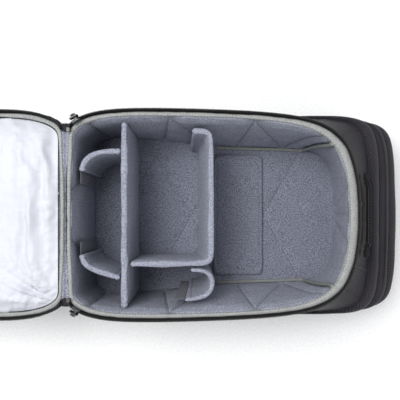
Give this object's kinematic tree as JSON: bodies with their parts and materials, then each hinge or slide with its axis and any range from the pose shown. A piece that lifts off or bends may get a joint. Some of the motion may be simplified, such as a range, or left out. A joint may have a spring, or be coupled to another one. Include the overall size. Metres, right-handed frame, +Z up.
{
  "type": "drone carrying case",
  "caption": "Padded backpack case for a drone kit, lying on its harness with its zipped front lid folded open over lift-out padded dividers",
  "frame": {"origin": "middle of the spine pad's face, which the case lies on, under the middle of the case", "axes": "+X along the case to its top end, +Y across it to the wearer's left, +Z up out of the open case"},
  "size_m": [0.8864, 0.2959, 0.203],
  "materials": {
    "outer_nylon": "matte",
    "back_mesh": "matte",
    "slate_lining": "matte",
    "stone_binding": "matte",
    "lid_lining": "satin",
    "zip_tape": "matte",
    "zip_coil": "satin",
    "webbing": "matte",
    "hook_tape": "matte",
    "board": "matte",
    "foam": "matte",
    "zip_metal": "satin",
    "pull_tab": "matte",
    "buckle": "satin"
  },
  "bodies": {
    "case": {"back_panel": "back_mesh", "floor_board": "board", "floor_pad": "slate_lining", "floor_piping": "stone_binding", "frame_sheet": "board", "front_shell": "outer_nylon", "grab_handle_anchors": "webbing", "harness_yoke": "back_mesh", "hinge_end_tabs": "outer_nylon", "hinge_strip": "slate_lining", "ladder_locks": "buckle", "laptop_pad": "slate_lining", "lumbar_pad": "back_mesh", "rear_band": "back_mesh", "rear_zip_coil": "zip_coil", "rib_front": "outer_nylon", "rib_middle": "outer_nylon", "rib_rear": "outer_nylon", "rim_binding": "stone_binding", "shoulder_strap_left": "back_mesh", "shoulder_strap_right": "back_mesh", "spine_pad": "back_mesh", "strap_webbing": "webbing", "wall_pad_bottom_end": "slate_lining", "wall_pad_left": "slate_lining", "wall_pad_right": "slate_lining", "wall_pad_top_end": "slate_lining", "zip_coil": "zip_coil", "zip_end_stops": "zip_metal", "zip_tape": "zip_tape"},
    "lid": {"lid_side_band": "outer_nylon", "lid_top_panel": "outer_nylon", "lid_edge_piping": "webbing", "lid_foam": "foam", "lid_board": "board", "lid_lining": "lid_lining", "lid_binding": "stone_binding", "lid_zip_tape": "zip_tape", "lid_zip_coil": "zip_coil"},
    "zip_slider_left": {"zip_slider_left": "zip_metal"},
    "zip_slider_right": {"zip_slider_right": "zip_metal"},
    "zip_pull_left": {"zip_pull_left": "pull_tab"},
    "zip_pull_right": {"zip_pull_right": "pull_tab"},
    "zip_slider_rear": {"zip_slider_rear": "zip_metal"},
    "zip_pull_rear": {"zip_pull_rear": "pull_tab"},
    "grab_handle": {"grab_handle": "webbing"},
    "divider_main": {"divider_main": "slate_lining", "divider_main_board": "board", "divider_main_hooks": "hook_tape"},
    "divider_goggles": {"divider_goggles": "slate_lining", "divider_goggles_hooks": "hook_tape"},
    "divider_curl": {"divider_curl": "slate_lining", "divider_curl_hooks": "hook_tape"},
    "divider_controller_left": {"divider_controller_left": "slate_lining", "divider_controller_left_hooks": "hook_tape"},
    "divider_controller_right": {"divider_controller_right": "slate_lining", "divider_controller_right_hooks": "hook_tape"},
    "riser_pad": {"riser_pad": "slate_lining"}
  },
  "joints": [
    {"name": "lid_hinge", "type": "hinge", "parent": "case", "child": "lid", "pos_m": [-0.2492, 0, 0.198], "axis": [0, 1, 0], "range_deg": [0, 185]},
    {"name": "zip_slider_left_run", "type": "hinge", "parent": "case", "child": "zip_slider_left", "pos_m": [-0.18987, 0.04917, 0.198], "axis": [0, 0, -1], "range_deg": [0, 18.8]},
    {"name": "zip_pull_left_swing", "type": "hinge", "parent": "zip_slider_left", "child": "zip_pull_left", "pos_m": [-0.23652, 0.1327, 0.198], "axis": [0.8731, 0.4876, 0], "range_deg": [0, 165]},
    {"name": "zip_slider_right_run", "type": "hinge", "parent": "case", "child": "zip_slider_right", "pos_m": [-0.18987, -0.04917, 0.198], "axis": [0, 0, 1], "range_deg": [0, 18.8]},
    {"name": "zip_pull_right_swing", "type": "hinge", "parent": "zip_slider_right", "child": "zip_pull_right", "pos_m": [-0.23652, -0.1327, 0.198], "axis": [-0.8731, 0.4876, 0], "range_deg": [0, 165]},
    {"name": "zip_slider_rear_run", "type": "slide", "parent": "case", "child": "zip_slider_rear", "axis": [-1, 0, 0], "range_m": [0, 0.16]},
    {"name": "zip_pull_rear_swing", "type": "hinge", "parent": "zip_slider_rear", "child": "zip_pull_rear", "pos_m": [0.06, 0.1484, 0.106], "axis": [1, 0, 0], "range_deg": [0, 150]},
    {"name": "grab_handle_swing", "type": "hinge", "parent": "case", "child": "grab_handle", "pos_m": [0.16312, 0, 0.16909], "axis": [0, -1, 0], "range_deg": [0, 110]},
    {"name": "divider_main_lift", "type": "slide", "parent": "case", "child": "divider_main", "axis": [0, 0, -1], "range_m": [-0.16, 0]},
    {"name": "divider_goggles_lift", "type": "slide", "parent": "case", "child": "divider_goggles", "axis": [0, 0, -1], "range_m": [-0.16, 0]},
    {"name": "divider_curl_lift", "type": "slide", "parent": "case", "child": "divider_curl", "axis": [0, 0, -1], "range_m": [-0.16, 0]},
    {"name": "divider_controller_left_lift", "type": "slide", "parent": "case", "child": "divider_controller_left", "axis": [0, 0, -1], "range_m": [-0.16, 0]},
    {"name": "divider_controller_right_lift", "type": "slide", "parent": "case", "child": "divider_controller_right", "axis": [0, 0, -1], "range_m": [-0.16, 0]},
    {"name": "riser_pad_lift", "type": "slide", "parent": "case", "child": "riser_pad", "axis": [0, 0, -1], "range_m": [-0.16, 0]}
  ]
}
